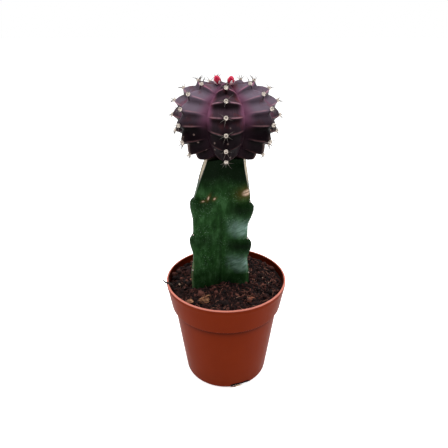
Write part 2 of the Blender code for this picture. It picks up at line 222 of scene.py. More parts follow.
def ring_shape(rings, first_pole=None, last_pole=None, **marks):
    """A closed shape from rings of points, with a fan to a pole at each end.

    Rings that run down, or profiles that run clockwise round the solid, face outwards when each
    ring runs anticlockwise. marks are values for each point of the rings.
    """
    rows, columns = rings.shape[:2]
    index = np.arange(rows * columns).reshape(rows, columns)
    right = np.roll(index, -1, axis=1)
    quads = np.stack([index[:-1], index[1:], right[1:], right[:-1]], axis=-1).reshape(-1, 4)
    faces = quads.tolist()
    points = rings.reshape(-1, 3)
    kept = {name: np.broadcast_to(value, (rows, columns)).ravel() for name, value in marks.items()}
    for pole, row, flip in ((first_pole, 0, False), (last_pole, rows - 1, True)):
        if pole is None:
            faces.append(index[row].tolist() if not flip else index[row][::-1].tolist())
            continue
        top = len(points)
        fan = np.stack([np.full(columns, top), index[row], right[row]], axis=1)
        faces += (fan[:, ::-1] if flip else fan).tolist()
        points = np.vstack([points, [pole]])
        kept = {name: np.append(value, value[index[row]].mean()) for name, value in kept.items()}
    return points, faces, kept


def copied_faces(faces, offsets):
    """The faces again for each offset, which is added to every corner's number."""
    return [[corner + int(offset) for corner in face] for offset in offsets for face in faces]


def make_piece(name, shapes, material):
    """One smooth-shaded mesh object at the origin from shapes of points, faces and marks."""
    offsets = np.cumsum([0] + [len(points) for points, _, _ in shapes])
    vertices = np.vstack([points for points, _, _ in shapes])
    faces = [face for offset, (_, part, _) in zip(offsets, shapes)
             for face in copied_faces(part, [offset])]
    mesh = bpy.data.meshes.new(name)
    mesh.from_pydata(vertices.tolist(), [], faces)
    for mark in shapes[0][2]:
        values = np.concatenate([kept[mark] for _, _, kept in shapes])
        layer = mesh.attributes.new(mark, "FLOAT", "POINT")
        layer.data.foreach_set("value", values.astype(np.float32))
    mesh.shade_smooth()
    mesh.materials.append(material)
    piece = bpy.data.objects.new(name, mesh)
    bpy.context.scene.collection.objects.link(piece)
    return piece


def turned_rings(profile, count):
    """Rings of a turned profile: each point of (radius, z) goes once round the Z axis."""
    return round_axis(profile[:, 0, None], round_turn(count), profile[:, 1, None])


def pot_profile():
    """Inside floor, wall, ledge and collar, over the lip, then collar, step, wall and underside."""
    ledge_z = COLLAR_BOTTOM_Z + WALL
    lip_z = POT_HEIGHT - LIP_HEIGHT
    nearly_axis = 0.4 * MM
    gate_radius, gate_depth = 2.6 * MM, 0.3 * MM
    return rounded_profile([
        (nearly_axis, POT_FLOOR, 0),
        (BODY_BOTTOM_RADIUS - WALL, POT_FLOOR, BASE_CORNER),
        (BODY_TOP_RADIUS - WALL, ledge_z, 0.5 * MM),
        (COLLAR_BOTTOM_RADIUS - WALL, ledge_z, 0.5 * MM),
        (RIM_RADIUS - LIP_THICKNESS, lip_z, 0.4 * MM),
        (RIM_RADIUS - LIP_THICKNESS, POT_HEIGHT, 0.55 * MM),
        (RIM_RADIUS, POT_HEIGHT, 0.55 * MM),
        (RIM_RADIUS, lip_z + 0.2 * MM, 0.7 * MM),
        (COLLAR_TOP_RADIUS, lip_z - 1.6 * MM, 0.9 * MM),
        (COLLAR_BOTTOM_RADIUS, COLLAR_BOTTOM_Z, 0.2 * MM),
        (BODY_TOP_RADIUS, COLLAR_BOTTOM_Z, 0.3 * MM),
        (BODY_BOTTOM_RADIUS, 0, BASE_CORNER),
        (gate_radius, 0, 0.2 * MM),
        (gate_radius - gate_depth, gate_depth, 0.1 * MM),
        (nearly_axis, gate_depth, 0),
    ], spacing=1.2 * MM)


def slot_cutter():
    """Three rounded bars along radii: each section is a superellipse, longer across than high."""
    power = 2 / 5
    across = SLOT_HALF_WIDTH * signed_power(np.cos(round_turn(40)), power)
    up = SLOT_HALF_HEIGHT * signed_power(np.sin(round_turn(40)), power)
    shapes = []
    for turn in SLOT_AZIMUTH + np.arange(SLOTS) * 2 * math.pi / SLOTS:
        ends = BODY_BOTTOM_RADIUS + SLOT_HALF_DEPTH * np.array([1, -1])[:, None]
        x = ends * math.cos(turn) - across * math.sin(turn)
        y = ends * math.sin(turn) + across * math.cos(turn)
        ring = np.stack([x, y, np.broadcast_to(up, x.shape)], axis=-1)
        shapes.append(ring_shape(ring))
    return make_piece("slot_cutter", shapes, pot_plastic)


# Polypropylene: slightly waxy and half-matt, so a flat wall shows little light and the steep
# sides mirror the white room. A pale pink highlight is painted along the top of the lip, and
# painted shade darkens the wall under the collar, the inside above the ledge and the backs of
# the drain slots. Faint vertical drag marks come from the mould, and handling leaves fine
# scuffs and a little dust.
pot_plastic, tree, shader = begin_material("moulded_polypropylene")
place = add_node(tree, "TexCoord").outputs["Object"]
drag_place = add_node(tree, "Mapping", {"Vector": place, "Scale": (1, 1, 0.05)})
drag = add_node(tree, "TexNoise", {
    "Vector": drag_place, "Scale": 700.0, "Detail": 3.0, "Roughness": 0.6})
cloud = add_node(tree, "TexNoise", {
    "Vector": place, "Scale": 60.0, "Detail": 4.0, "Roughness": 0.55})
dust_grain = add_node(tree, "TexNoise", {
    "Vector": place, "Scale": 1500.0, "Detail": 2.0, "Roughness": 0.7})
dust = add_node(tree, "MapRange", {
    "Value": dust_grain, "From Min": 0.66, "From Max": 0.78, "To Max": 0.2})
edge, grime = (
    add_node(tree, "Attribute", attribute_name=name).outputs["Fac"]
    for name in ("edge", "grime"))
tone = linear("#661f05")
# Over the random tone go dust, painted shade, and a painted highlight along the lip's top.
for share, coat in (
    (cloud, "#702406"), (dust, "#8c4a30"), (grime, "#190603"), (edge, "#d98676"),
):
    tone = add_node(tree, "Mix", {0: share, 6: tone, 7: linear(coat)}, data_type="RGBA")
gloss = add_node(tree, "MapRange", {"Value": drag, "To Min": 0.36, "To Max": 0.52})
drag_bump = add_node(tree, "Bump", {"Height": drag, "Strength": 0.12, "Distance": 0.1 * MM})
feed(shader, {
    "Base Color": tone, "Roughness": gloss, "IOR": 1.49, "Specular IOR Level": 0.02,
    "Sheen Weight": 0.22, "Sheen Roughness": 0.15, "Normal": drag_bump})

pot_rings = turned_rings(pot_profile(), 240)
pot_reach = np.hypot(pot_rings[..., 0], pot_rings[..., 1])
pot_z = pot_rings[..., 2]
over_lip = np.arange(len(pot_rings))[:, None] > np.argmax(pot_z[:, 0])
# A pale pink highlight is painted along the top of the lip.
pot_edge = smooth((pot_z - POT_HEIGHT + 0.6 * MM) / (0.45 * MM)) * (pot_reach > RIM_RADIUS - 0.9 * MM)
# Painted shade darkens the wall below the collar's step and the inside of the wall above the ledge.
under_collar = np.exp(-((COLLAR_BOTTOM_Z - pot_z) / (2.8 * MM)) ** 2)
under_collar *= (pot_z < COLLAR_BOTTOM_Z - 0.02 * MM) * over_lip
inside = (pot_z > COLLAR_BOTTOM_Z + WALL) * ~over_lip
pot_grime = np.clip(0.85 * under_collar + 0.3 * inside, 0, 1)
pot_ends = (Vector((0, 0, pot_rings[0, 0, 2])), Vector((0, 0, pot_rings[-1, 0, 2])))
pot_shape = ring_shape(pot_rings, *pot_ends, edge=pot_edge, grime=pot_grime)
pot = make_piece("moulded_pot", [pot_shape], pot_plastic)
cutter = slot_cutter()
slots = pot.modifiers.new("drain_slots", "BOOLEAN")
slots.object = cutter
slots.solver = "EXACT"
pot_cut = bpy.data.meshes.new_from_object(pot.evaluated_get(bpy.context.evaluated_depsgraph_get()))
pot.modifiers.clear()
pot.data = pot_cut
bpy.data.objects.remove(cutter)
pot_cut.set_sharp_from_angle(angle=math.radians(40))
# The backs of the slots are painted nearly black as shade.
cut_points = np.empty(len(pot_cut.vertices) * 3)
pot_cut.vertices.foreach_get("co", cut_points)
cut_points = cut_points.reshape(-1, 3)
cut_grime = np.empty(len(pot_cut.vertices))
pot_cut.attributes["grime"].data.foreach_get("value", cut_grime)
cut_reach = np.hypot(cut_points[:, 0], cut_points[:, 1])
slot_back = cut_reach > BODY_BOTTOM_RADIUS - SLOT_HALF_DEPTH - 0.2 * MM
slot_back &= cut_reach < BODY_BOTTOM_RADIUS - 0.4 * MM
slot_back &= cut_points[:, 2] < SLOT_HALF_HEIGHT + 0.1 * MM
cut_grime[slot_back] = 1.0
pot_cut.attributes["grime"].data.foreach_set("value", cut_grime.astype(np.float32))
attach(pot, "root")
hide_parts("pot")


# ----------------------------------------------------------
# Rootstock. The green cutting of a three-ribbed climbing cactus, one living piece, rooted in
# the mix: thick ribs with wavy margins, and three slanting knife cuts that bring its top down
# to the width of the graft and have dried to pale cork.
# ----------------------------------------------------------
STOCK_FOOT_Z = 27.0 * MM
SOIL_Z = 57.0 * MM
GRAFT_Z = 127.5 * MM
GAP = 0.35 * MM
STOCK_LEAN_X = (-4.1 * MM, 3.5 * MM)
STOCK_LEAN_Y = (2.5 * MM, -2.5 * MM)
FIRST_STOCK_RIB = math.radians(218)
STOCK_RIBS = 3
RIB_RADIUS = 15.9 * MM
VALLEY_RADIUS = 8.3 * MM
LOBE_PITCH = 20.6 * MM
LOBE_HEIGHTS = np.array([1.9, 2.4, 2.1]) * MM
LOBE_TOPS = np.array([109.3, 105.4, 100.0]) * MM
CUT_START_Z = 107.5 * MM
# Each cut is the angle that it faces, and its plane's reach at its start and at the graft in mm.
CUTS = ((188, 13.9, 9.4), (353, 15.4, 9.6), (98, 15.4, 9.4))


def stock_surface(z, angle):
    """The rootstock's surface at height z and angle, with what its marks need.

    The radius rises from the valleys to the ribs as a power of a cosine with three waves. Each
    rib's margin stands out quickly below an areole and falls slowly to the next one. Above the
    start of the cuts each rib is sliced off along a plane that slopes in to the graft.
    """
    rib_pitch = 2 * math.pi / STOCK_RIBS
    index = np.rint((angle - FIRST_STOCK_RIB) / rib_pitch).astype(int)
    off = angle - FIRST_STOCK_RIB - index * rib_pitch
    rib = index % STOCK_RIBS
    share = np.mod((LOBE_TOPS[rib] - z) / LOBE_PITCH, 1.0)
    lobe = LOBE_HEIGHTS[rib] * smooth(share / 0.15) * (1 - smooth((share - 0.2) / 0.5))
    fade = smooth((z - 62.0 * MM) / (14.0 * MM))
    foot = 1 - 0.15 * np.maximum(SOIL_Z - z, 0.0) / (SOIL_Z - STOCK_FOOT_Z)
    margin = RIB_RADIUS * foot + lobe * fade + 1.5 * MM * (1 - fade)
    wave = (0.5 + 0.5 * np.cos(STOCK_RIBS * off)) ** 2.5
    whole = VALLEY_RADIUS + (margin - VALLEY_RADIUS) * wave
    sliced = np.ones_like(whole)
    for facing, low, high in CUTS:
        reach = np.interp(z, (CUT_START_Z, GRAFT_Z), (low * MM, high * MM))
        plane = reach / np.maximum(np.cos(angle - math.radians(facing)), 0.3)
        sliced = np.where(z > CUT_START_Z, np.minimum(sliced, plane), sliced)
    radius = np.minimum(whole, sliced)
    rise = np.maximum((z - SOIL_Z) / (GRAFT_Z - SOIL_Z), 0.0)
    x = STOCK_LEAN_X[0] + STOCK_LEAN_X[1] * rise ** 3 + radius * np.cos(angle)
    y = STOCK_LEAN_Y[0] + STOCK_LEAN_Y[1] * rise + radius * np.sin(angle)
    flank = np.abs(off) / (rib_pitch / 2)
    bared = smooth((whole - sliced - 2.3 * MM) / (0.6 * MM)) * smooth((z - 111 * MM) / (6 * MM))
    marks = {"cut": bared, "flank": flank, "lobe": share, "side": np.sign(off), "rib": rib}
    return np.stack([x, y, z], axis=-1), marks


stock_heights = np.linspace(GRAFT_Z, STOCK_FOOT_Z, 310)
stock_grid = np.meshgrid(stock_heights, round_turn(264), indexing="ij")
stock_points, stock_marks = stock_surface(*stock_grid)
skin_waves = 0.16 * MM * value_noise(stock_points * (1, 1, 0.6), 3.4 * MM, 21)
skin_waves += 0.05 * MM * value_noise(stock_points, 0.9 * MM, 22)
stock_middle = stock_points.mean(axis=1, keepdims=True)
stock_outward = stock_points - stock_middle
stock_outward /= np.linalg.norm(stock_outward, axis=-1, keepdims=True)
stock_points = stock_points + stock_outward * (skin_waves * (1 - stock_marks["cut"]))[..., None]

# Marks on the skin. A blue-grey sheen is painted in the hollows between lobes on the right-hand
# flank; painted shade darkens each lobe under its areole, a line down each valley and the top
# under the scion, the lower stem near the mix is painted lighter, and old wounds have healed to cork.
# Each wound is its height, its angle, its half width and its half height.
WOUNDS = (
    (110.6, 329, 2.0, 1.6), (108.4, 240.0, 0.4, 1.0), (107.6, 252.0, 0.5, 0.5), (107.3, 234.0, 0.5, 0.3),
)
flank, lobe_share = stock_marks["flank"], stock_marks["lobe"]
stock_z = stock_points[..., 2]
# A blue-grey sheen is painted on the right-hand flank, in the hollows between its lobes.
right_flank = (stock_marks["rib"] == 1) * (stock_marks["side"] < 0)
hollow = np.exp(-((lobe_share - 0.66 + 0.16 * (flank - 0.5)) / 0.2) ** 2)
toward_margin = smooth((0.93 - flank) / 0.8) ** 1.5
stock_bloom = right_flank * hollow * toward_margin * (1 - smooth((stock_z - 94 * MM) / (9 * MM)))
bloom_patches = value_noise(stock_points * (1, 1, 1.6), 2.6 * MM, 23)
stock_bloom = np.clip(stock_bloom * (0.85 + 0.35 * bloom_patches), 0, 1)
# Painted shade: dark green under each lobe's areole, stronger on the right flank, a dark line down each
# valley, and painted shadow at the top under the scion.
fat = np.exp(-((lobe_share - 0.18) / 0.19) ** 2)
stock_dusk = fat * (1 - smooth((flank - 0.3) / 0.55)) * smooth((stock_z - 60 * MM) / (8 * MM))
stock_dusk *= 0.55 + 0.4 * right_flank * (1 - 0.3 * smooth((stock_z - 93 * MM) / (6 * MM)))
valley_line = 0.45 * np.exp(-((1 - flank) / 0.09) ** 2) * (1 - smooth((stock_z - 92 * MM) / (12 * MM)))
stock_dusk = np.clip(stock_dusk + valley_line + smooth((stock_z - 108 * MM) / (13 * MM)), 0, 1)
# The lower stem near the mix is painted lighter, as painted light.
stock_fresh = 1 - smooth((stock_z - 58 * MM) / (26 * MM))
stock_wound = np.zeros_like(stock_z)
stock_halo = np.zeros_like(stock_z)
for wound_z, wound_angle, wound_width, wound_height in WOUNDS:
    middle = stock_surface(np.array([wound_z * MM]), np.array([math.radians(wound_angle)]))[0][0]
    offset = (stock_points - middle) / MM
    sideways = np.hypot(offset[..., 0] - 0.45 * offset[..., 2], offset[..., 1]) / wound_width
    stock_wound += np.exp(-(sideways ** 2 + (offset[..., 2] / wound_height) ** 2) ** 2)
    stock_halo += np.exp(-(sideways * 0.45) ** 2 - (offset[..., 2] / wound_height * 0.5) ** 2)
    crack = np.exp(-((offset[..., 2] - 0.1 - 0.3 * offset[..., 0]) / 0.35) ** 2) * (wound_height > 1.2)
    stock_wound *= 1 - 0.95 * crack * np.exp(-(sideways / 0.9) ** 4)
old_margin = np.exp(-(flank / 0.03) ** 2) * (1 - smooth((stock_z - 70 * MM) / (3 * MM)))
stock_cork = np.clip(stock_wound + 0.13 * old_margin * (stock_marks["rib"] == 0), 0, 1)
stock_halo = np.clip(stock_halo, 0, 1)

stock_skin, tree, shader = begin_material("waxy_cactus_skin")
place = add_node(tree, "TexCoord").outputs["Object"]
bloom, dusk, fresh, cut, cork, halo = (
    add_node(tree, "Attribute", attribute_name=name).outputs["Fac"]
    for name in ("bloom", "dusk", "fresh", "cut", "cork", "halo"))
long_place = add_node(tree, "Mapping", {"Vector": place, "Scale": (1, 1, 0.45)})
mottle = add_node(tree, "TexNoise", {
    "Vector": long_place, "Scale": 330.0, "Detail": 6.0, "Roughness": 0.65})
green = add_node(tree, "ValToRGB", {"Fac": mottle})
stops = green.color_ramp.elements
stops[0].position, stops[0].color = 0.34, linear("#102a0e")
stops[1].position, stops[1].color = 0.68, linear("#325430")
stops.new(0.5).color = linear("#1c3b19")
# The painted light at the foot brightens the green.
freshened = add_node(tree, "Mix", {
    0: fresh, 6: green, 7: (1.7, 1.5, 1.7, 1.0)}, data_type="RGBA", blend_type="MULTIPLY")
streak_place = add_node(tree, "Mapping", {
    "Vector": place, "Rotation": (0.0, -0.5, 0.0), "Scale": (5, 1, 1)}, vector_type="TEXTURE")
streaks = add_node(tree, "TexNoise", {
    "Vector": streak_place, "Scale": 700.0, "Detail": 3.0, "Roughness": 0.6})
streaky = add_node(tree, "MapRange", {
    "Value": streaks, "From Min": 0.35, "From Max": 0.65, "To Min": 0.3, "To Max": 1.0})
# The painted sheen is broken into streaks.
bloom_share = add_node(tree, "Math", {0: bloom, 1: streaky}, operation="MULTIPLY")
pores = add_node(tree, "TexVoronoi", {"Vector": place, "Scale": 1100.0, "Randomness": 1.0})
pore_dots = add_node(tree, "MapRange", {
    "Value": pores, "From Min": 0.34, "From Max": 0.1, "To Max": 0.5})
pore_patch = add_node(tree, "TexNoise", {
    "Vector": place, "Scale": 130.0, "Detail": 2.0, "Roughness": 0.6})
pore_crowd = add_node(tree, "MapRange", {"Value": pore_patch, "From Min": 0.42, "From Max": 0.66})
undusk = add_node(tree, "MapRange", {"Value": dusk, "To Min": 1.0, "To Max": 0.1})
pore_cover = add_node(tree, "Math", {0: pore_dots, 1: pore_crowd}, operation="MULTIPLY")
pore_share = add_node(tree, "Math", {0: pore_cover, 1: undusk}, operation="MULTIPLY")
cork_grain = add_node(tree, "TexNoise", {
    "Vector": place, "Scale": 1300.0, "Detail": 4.0, "Roughness": 0.7})
cork_tone = add_node(tree, "Mix", {
    0: cork_grain, 6: linear("#8a5a44"), 7: linear("#ffe6cc")}, data_type="RGBA")
cut_tone = add_node(tree, "Mix", {
    0: cork_grain, 6: linear("#7f705c"), 7: linear("#cdc2ac")}, data_type="RGBA")
# Over the green go painted shade, a painted sheen, pale pores, a brown halo and cork round wounds, and the
# cork of the cuts.
tone = freshened
for share, coat in (
    (dusk, linear("#061405")),
    (bloom_share, linear("#86a49a")),
    (pore_share, linear("#7b9680")),
    (halo, linear("#4a3a14")),
    (cork, cork_tone),
    (cut, cut_tone),
):
    tone = add_node(tree, "Mix", {0: share, 6: tone, 7: coat}, data_type="RGBA")
dull = add_node(tree, "Math", {0: bloom, 1: cut}, operation="MAXIMUM")
matt = add_node(tree, "MapRange", {"Value": dull, "To Min": 0.4, "To Max": 0.65})
skin_bump = add_node(tree, "Bump", {"Height": mottle, "Strength": 0.35, "Distance": 0.25 * MM})
feed(shader, {
    "Base Color": tone, "Roughness": matt, "Specular IOR Level": 0.02, "Normal": skin_bump})

stock_ends = (Vector(stock_points[0].mean(axis=0)), Vector(stock_points[-1].mean(axis=0)))
stock_shape = ring_shape(
    stock_points, *stock_ends, bloom=stock_bloom, dusk=stock_dusk, fresh=stock_fresh,
    cut=stock_marks["cut"], cork=stock_cork, halo=stock_halo)
rootstock = make_piece("green_rootstock", [stock_shape], stock_skin)
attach(rootstock, "root")
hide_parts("rootstock")


# ----------------------------------------------------------
# Potting mix. Dark peat with coir: a packed bed that fills the pot to just under the lip, with
# a pocket round the stem, loose crumbs and hair-like coir fibres lying on it, and rootlets that
# have come out below.
# ----------------------------------------------------------
MIX_WALL_Z = 55.2 * MM
MIX_CROWN_Z = 57.6 * MM
mix_slope = (RIM_RADIUS - LIP_THICKNESS - COLLAR_BOTTOM_RADIUS + WALL) / (
    POT_HEIGHT - LIP_HEIGHT - COLLAR_BOTTOM_Z - WALL)
MIX_RADIUS = COLLAR_BOTTOM_RADIUS - WALL - GAP + mix_slope * (MIX_WALL_Z - COLLAR_BOTTOM_Z - WALL - GAP)


def crumb_field(x, y, pitch, seed):
    """Domes from 0 to 1, one round a random point of each square cell: a circle's height over it."""
    table = np.random.default_rng(seed).uniform(0, 1, (64, 64, 3))
    column, row = np.floor(x / pitch).astype(int), np.floor(y / pitch).astype(int)
    nearest = np.full(x.shape, 9.0)
    for step in np.ndindex(3, 3):
        right, up = column + step[0] - 1, row + step[1] - 1
        cell = table[right % 64, up % 64]
        reach = 0.45 + 0.45 * cell[..., 2]
        distance = np.hypot(x / pitch - right - cell[..., 0], y / pitch - up - cell[..., 1]) / reach
        nearest = np.minimum(nearest, distance)
    return np.sqrt(np.clip(1 - nearest ** 2, 0, 1))


def mix_height(x, y):
    """Height of the mix: level at the wall, a little higher inside, with hollows, clods and crumbs."""
    share = np.clip(np.hypot(x, y) / MIX_RADIUS, 0, 1)
    flat = np.stack([x, y, np.zeros_like(x)], axis=-1)
    bed = MIX_WALL_Z + (MIX_CROWN_Z - MIX_WALL_Z) * (1 - share ** 3) - 0.9 * MM
    hollows = 0.9 * MM * value_noise(flat, 7 * MM, 11)
    clods = 1.1 * MM * crumb_field(x, y, 3.1 * MM, 12)
    crumbs = 0.55 * MM * crumb_field(x, y, 1.3 * MM, 13)
    return bed + hollows + clods + crumbs


mix_peat, tree, shader = begin_material("peat_and_coir")
place = add_node(tree, "TexCoord").outputs["Object"]
grain = add_node(tree, "TexNoise", {
    "Vector": place, "Scale": 600.0, "Detail": 5.0, "Roughness": 0.7})
tint = add_node(tree, "Attribute", attribute_name="tint").outputs["Fac"]
mixed = add_node(tree, "Math", {0: grain, 1: 0.5, 2: tint}, operation="MULTIPLY_ADD")
peat_ramp = add_node(tree, "ValToRGB", {"Fac": mixed})
stops = peat_ramp.color_ramp.elements
stops[0].position, stops[0].color = 0.18, linear("#120808")
stops[1].position, stops[1].color = 1.0, linear("#ecd8ba")
for position, colour in ((0.36, "#220e0c"), (0.52, "#42201b"), (0.7, "#70443a"), (0.88, "#a87460")):
    stops.new(position).color = linear(colour)
grain_bump = add_node(tree, "Bump", {"Height": grain, "Strength": 0.8, "Distance": 0.25 * MM})
feed(shader, {
    "Base Color": peat_ramp, "Roughness": 0.92, "Specular IOR Level": 0.3, "Normal": grain_bump})


STEM_AXIS = np.array([STOCK_LEAN_X[0], STOCK_LEAN_Y[0]])


def stem_outline(angle):
    """The stem's outline at the soil, as points of (x, y) in the given directions from its axis."""
    points, _ = stock_surface(np.full(np.shape(angle), SOIL_Z), angle)
    return points[..., :2]


def mix_rings(columns):
    """The mix as rings: up the stem's pocket, out over the top, down the pot's wall, in underneath.

    A ring of the top lies a share of the way from the stem's outline to the wall, along the
    straight line between them, and takes its height from mix_height.
    """
    outline = stem_outline(round_turn(columns)) - STEM_AXIS
    reach = np.linalg.norm(outline, axis=1, keepdims=True)
    inner = STEM_AXIS + outline * (reach + 0.25 * MM) / reach
    direction = inner / np.linalg.norm(inner, axis=1, keepdims=True)
    top = inner + (MIX_RADIUS * direction - inner) * np.linspace(0, 1, 130)[:, None, None]
    rings = [np.concatenate([inner, np.full((columns, 1), z)], axis=1)[None]
             for z in (STOCK_FOOT_Z, SOIL_Z - 2.5 * MM)]
    rings.append(np.concatenate([top, mix_height(top[..., 0], top[..., 1])[..., None]], axis=-1))
    inset = WALL + GAP
    for radius, z in (
        (COLLAR_BOTTOM_RADIUS - inset, COLLAR_BOTTOM_Z + inset),
        (BODY_TOP_RADIUS - inset, COLLAR_BOTTOM_Z + inset),
        (BODY_BOTTOM_RADIUS - inset, POT_FLOOR + BASE_CORNER),
        (BODY_BOTTOM_RADIUS - inset - BASE_CORNER, POT_FLOOR + GAP),
    ):
        rings.append(np.concatenate([radius * direction, np.full((columns, 1), z)], axis=1)[None])
    return np.concatenate(rings)


bed_rings = mix_rings(360)
bed_tint = 0.18 * np.clip(value_noise(bed_rings, 1.6 * MM, 14) + 0.3, 0, 1)
bed_ends = (Vector((*STEM_AXIS, STOCK_FOOT_Z)), Vector((0, 0, POT_FLOOR + GAP)))
peat_bed = make_piece("peat_bed", [ring_shape(bed_rings, *bed_ends, tint=bed_tint)], mix_peat)
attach(peat_bed, "root")
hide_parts("potting_mix")


def random_turns(random, count):
    """A random rotation matrix for each of count things, from random unit quaternions."""
    quaternion = random.normal(size=(4, count))
    w, x, y, z = quaternion / np.linalg.norm(quaternion, axis=0)
    return np.moveaxis(np.array([
        [1 - 2 * (y * y + z * z), 2 * (x * y - z * w), 2 * (x * z + y * w)],
        [2 * (x * y + z * w), 1 - 2 * (x * x + z * z), 2 * (y * z - x * w)],
        [2 * (x * z - y * w), 2 * (y * z + x * w), 1 - 2 * (x * x + y * y)],
    ]), 2, 0)


def places_on_mix(random, count):
    """Random places on the bed, even by area, outside the stem's outline."""
    radius = (MIX_RADIUS - 1.2 * MM) * np.sqrt(random.uniform(0, 1, count * 2))
    angle = random.uniform(0, 2 * math.pi, count * 2)
    place = np.stack([radius * np.cos(angle), radius * np.sin(angle)], axis=1)
    from_stem = place - STEM_AXIS
    outline = stem_outline(np.arctan2(from_stem[:, 1], from_stem[:, 0])) - STEM_AXIS
    outside = np.linalg.norm(from_stem, axis=1) > np.linalg.norm(outline, axis=1) + 0.7 * MM
    x, y = place[outside][:count].T
    return np.stack([x, y, mix_height(x, y)], axis=1)


def unit_lump():
    """A lump of unit size: a ball of six columns and three rings, pushed in and out unevenly."""
    polar = np.linspace(0.25, 0.75, 3)[:, None] * math.pi
    angle = round_turn(6)
    bump = 1 + 0.25 * np.sin(3.1 * angle + 1.3 * np.arange(3)[:, None])
    rings = round_axis(bump * np.sin(polar), angle, np.cos(polar))
    return ring_shape(rings, (0, 0, 1), (0, 0, -1))


def scatter(template, places, turns, sizes, tints):
    """Copies of a template shape, each sized along its own axes, turned and moved to its place."""
    points, faces, _ = template
    copies = np.einsum("nij,npj->npi", turns, points[None] * sizes[:, None]) + places[:, None]
    joined = copied_faces(faces, np.arange(len(places)) * len(points))
    return copies.reshape(-1, 3), joined, {"tint": np.repeat(tints, len(points))}


def tubes(paths, radii, sides, **marks):
    """Round tubes along paths of (count, points, 3): at each point a ring square to the path."""
    along = np.gradient(paths, axis=1)
    along /= np.linalg.norm(along, axis=-1, keepdims=True)
    across = np.cross(along, (0.31, 0.17, 0.94))
    across /= np.linalg.norm(across, axis=-1, keepdims=True)
    up = np.cross(along, across)
    turn = -round_turn(sides)[:, None]
    ring = across[..., None, :] * np.cos(turn) + up[..., None, :] * np.sin(turn)
    points = paths[..., None, :] + np.asarray(radii)[..., None, None] * ring
    count, rows = paths.shape[:2]
    faces = copied_faces(ring_shape(points[0])[1], np.arange(count) * rows * sides)
    kept = {name: np.broadcast_to(np.asarray(value)[..., None], (count, rows, sides)).ravel()
            for name, value in marks.items()}
    return points.reshape(-1, 3), faces, kept


def flat_arcs(middles, headings, lengths):
    """Level paths about their middles: equal steps along headings that turn from end to end."""
    steps = headings.shape[1]
    runs = np.stack([np.cos(headings), np.sin(headings)], axis=-1) * lengths[..., None] / steps
    paths = np.cumsum(runs, axis=1)
    return paths + middles[:, None] - paths.mean(axis=1, keepdims=True)


random = np.random.default_rng(31)
CRUMBS = 1500
crumb_sizes = 0.5 * MM * random.lognormal(0, 0.5, (CRUMBS, 1)) * random.uniform(0.5, 1.4, (CRUMBS, 3))
crumb_places = places_on_mix(random, CRUMBS) + (0, 0, 0.1 * MM)
crumb_tints = random.uniform(-0.1, 0.4, CRUMBS) + 0.3 * (random.uniform(0, 1, CRUMBS) > 0.93)
crumb_turns = random_turns(random, CRUMBS)
crumbs = scatter(unit_lump(), crumb_places, crumb_turns, crumb_sizes, crumb_tints)
peat_crumbs = make_piece("peat_crumbs", [crumbs], mix_peat)
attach(peat_crumbs, "root")

# A coir fibre lies along an arc: its heading turns evenly from end to end, and its middle is arched.
FIBRES = 420
FIBRE_STEPS = 8
share = np.linspace(-0.5, 0.5, FIBRE_STEPS)
fibre_lengths = random.uniform(2.0, 6.5, (FIBRES, 1)) * MM
headings = random.uniform(0, 2 * math.pi, (FIBRES, 1)) + random.normal(0, 1.3, (FIBRES, 1)) * share
flat_paths = flat_arcs(places_on_mix(random, FIBRES)[:, :2], headings, fibre_lengths)
reach = np.linalg.norm(flat_paths, axis=-1, keepdims=True)
flat_paths *= np.minimum(1, (MIX_RADIUS - 0.6 * MM) / reach)
arch = random.uniform(0.1, 0.8, (FIBRES, 1)) * MM * (1 - (2 * share) ** 2)
under = mix_height(flat_paths[..., 0], flat_paths[..., 1])
lying = 0.5 * under + 0.5 * under.max(axis=1, keepdims=True) + arch
fibre_paths = np.concatenate([flat_paths, lying[..., None]], axis=-1)
fibre_radii = random.uniform(0.09, 0.2, (FIBRES, 1)) * MM * (1 - 0.7 * np.abs(2 * share) ** 3)
fibre_tints = np.broadcast_to(random.uniform(0.0, 0.6, (FIBRES, 1)), fibre_radii.shape)
coir = make_piece("coir_fibres", [tubes(fibre_paths, fibre_radii, 4, tint=fibre_tints)], mix_peat)
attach(coir, "root")

# Pale rootlets have grown out of the front drain slot and lie matted along its foot.
ROOTLETS = 14
random = np.random.default_rng(46)
share = np.linspace(-0.5, 0.5, 9)
mat_along = random.uniform(-4.4, 0.0, (ROOTLETS, 1)) + random.uniform(1.6, 4.2, (ROOTLETS, 1)) * share
mat_reach = random.uniform(22.6, 23.0, (ROOTLETS, 1))
mat_reach = mat_reach + 0.25 * np.sin(random.uniform(3, 9, (ROOTLETS, 1)) * share)
mat_z = random.uniform(0.35, 0.9, (ROOTLETS, 1)) + random.normal(0, 0.35, (ROOTLETS, 1)) * share
rootlet_radii = random.uniform(0.12, 0.24, (ROOTLETS, 1)) * (1 - 0.5 * np.abs(2 * share) ** 3)
mat_paths = np.stack([
    mat_reach * math.cos(SLOT_AZIMUTH) - mat_along * math.sin(SLOT_AZIMUTH),
    mat_reach * math.sin(SLOT_AZIMUTH) + mat_along * math.cos(SLOT_AZIMUTH),
    np.maximum(mat_z, rootlet_radii + 0.05),
], axis=-1)
mat_tints = np.broadcast_to(random.uniform(0.5, 0.9, (ROOTLETS, 1)), rootlet_radii.shape)
rootlet_tubes = tubes(mat_paths * MM, rootlet_radii * MM, 5, tint=mat_tints)
rootlets = make_piece("slot_rootlets", [rootlet_tubes], mix_peat)
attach(rootlets, "root")


